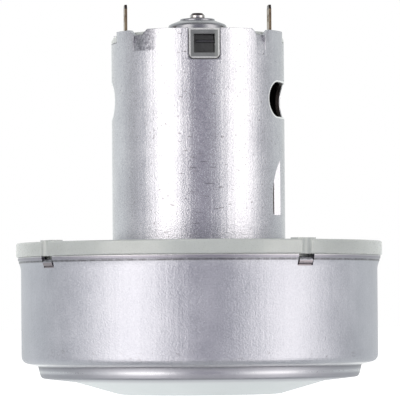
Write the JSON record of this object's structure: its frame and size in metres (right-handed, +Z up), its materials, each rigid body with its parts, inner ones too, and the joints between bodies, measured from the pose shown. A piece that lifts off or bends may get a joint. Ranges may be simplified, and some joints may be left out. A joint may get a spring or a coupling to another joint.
{
  "type": "vacuum motor unit",
  "caption": "Brushed can motor standing on a centrifugal suction fan: pressed metal fan cover with a bottom inlet, moulded diffuser plate, drawn steel can and tab terminals.",
  "frame": {"origin": "centre of the inlet face, the lowest plane of the fan cover, on the shaft axis", "axes": "+Z up the shaft from the inlet to the terminals, -Y towards the front brush holder, +X towards the right terminal"},
  "size_m": [0.0762, 0.0762, 0.0811],
  "materials": {
    "cover_sheet": "satin zinc plate with a sandy grain",
    "nylon": "milky natural nylon, slightly translucent",
    "can_steel": "bright satin zinc plate with fine scratches",
    "screw_steel": "zinc plate",
    "bearing_bronze": "oiled sintered bronze",
    "ferrite": "ground ferrite",
    "cup_steel": "drawn steel",
    "terminal_brass": "dull tarnished brass",
    "holder_grey": "moulded grey resin",
    "carbon": "pressed carbon",
    "spring_steel": "drawn spring wire",
    "shaft_steel": "ground and polished",
    "spacer_resin": "moulded phenolic resin",
    "fibre": "pressed fibre",
    "core_steel": "stacked laminations",
    "insulator_green": "green coating",
    "copper_wire": "enamelled wire",
    "copper_bar": "turned copper",
    "hub_brass": "turned brass",
    "impeller_sheet": "pressed aluminium sheet"
  },
  "bodies": {
    "housing": {"fan_cover": "cover_sheet", "diffuser_plate": "nylon", "motor_can": "can_steel", "motor_screws": "screw_steel", "front_bearing": "bearing_bronze", "magnet_front": "ferrite", "magnet_rear": "ferrite", "end_cap": "nylon", "rear_bearing_cup": "cup_steel", "rear_bearing": "bearing_bronze", "terminal_left": "terminal_brass", "terminal_right": "terminal_brass", "brush_holder_front": "holder_grey", "brush_holder_rear": "holder_grey", "brush_spring_front": "spring_steel", "brush_spring_rear": "spring_steel"},
    "rotor": {"shaft": "shaft_steel", "shaft_spacers": "spacer_resin", "thrust_washers": "fibre", "rotor_core": "core_steel", "core_insulators": "insulator_green", "rotor_windings": "copper_wire", "commutator_hub": "spacer_resin", "commutator_bars": "copper_bar", "impeller_hub": "hub_brass", "impeller_disc": "impeller_sheet", "impeller_blades": "impeller_sheet", "impeller_shroud": "impeller_sheet"},
    "front_brush": {"brush_front": "carbon"},
    "rear_brush": {"brush_rear": "carbon"}
  },
  "joints": [
    {"name": "rotor_spin", "type": "hinge", "parent": "housing", "child": "rotor", "pos_m": [0, 0, 0], "axis": [0, 0, 1], "continuous": true},
    {"name": "front_brush_slide", "type": "slide", "parent": "housing", "child": "front_brush", "axis": [0, -1, 0], "range_m": [0, 0.0012], "stiffness_N_per_m": 150, "springref_m": -0.004, "deforming": ["brush_spring_front"]},
    {"name": "rear_brush_slide", "type": "slide", "parent": "housing", "child": "rear_brush", "axis": [0, 1, 0], "range_m": [0, 0.0012], "stiffness_N_per_m": 150, "springref_m": -0.004, "deforming": ["brush_spring_rear"]}
  ]
}
